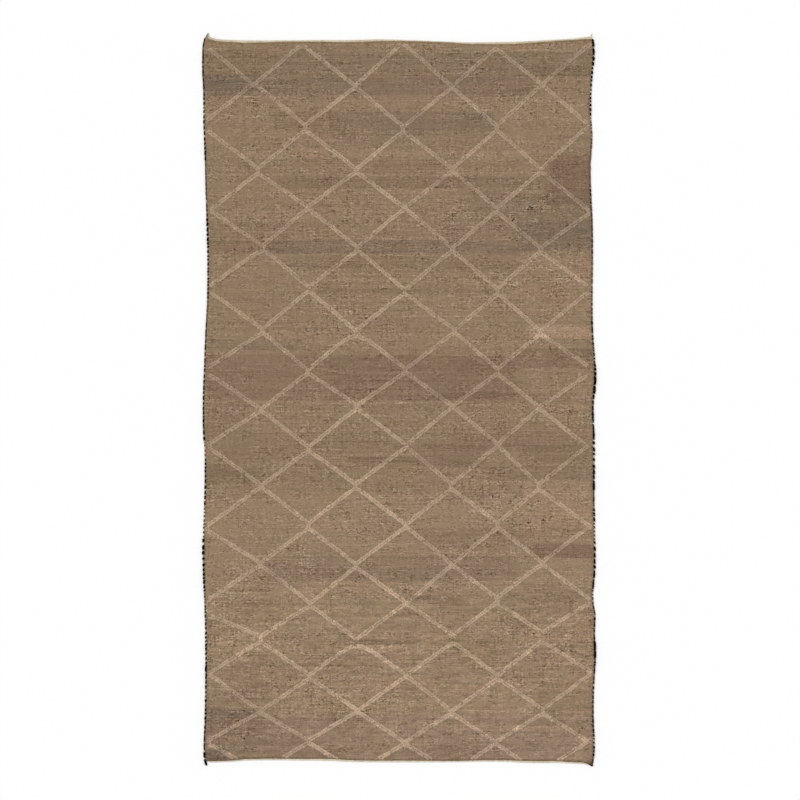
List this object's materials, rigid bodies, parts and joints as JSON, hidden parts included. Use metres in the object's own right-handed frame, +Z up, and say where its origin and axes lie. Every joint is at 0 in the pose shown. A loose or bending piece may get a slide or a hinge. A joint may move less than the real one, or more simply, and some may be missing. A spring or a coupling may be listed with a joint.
{
  "type": "flat-woven wool rug",
  "caption": "Flat-woven wool rug with a light diamond lattice on mottled brown, dark overcast long edges and narrow cream end bands, lying flat.",
  "frame": {"origin": "middle of the underside, where the rug rests on the floor", "axes": "+X across the rug to the right in the picture, +Y along its length towards the top of the picture, +Z up out of the face"},
  "size_m": [1.6344, 3.0468, 0.006],
  "materials": {
    "ground_wool": "weft-faced flat weave in marled brown hand-spun wool, with a lighter tan lattice",
    "dark_wool": "overcast dark brown-black wool yarn",
    "cream_warp": "bound undyed warp ends"
  },
  "bodies": {
    "root": {"field": "ground_wool", "selvedge_left": "dark_wool", "selvedge_right": "dark_wool", "end_band_top": "cream_warp", "end_band_bottom": "cream_warp", "tuft_top_left": "cream_warp", "thread_top_right": "cream_warp", "yarn_end_bottom_left": "dark_wool"}
  },
  "joints": []
}
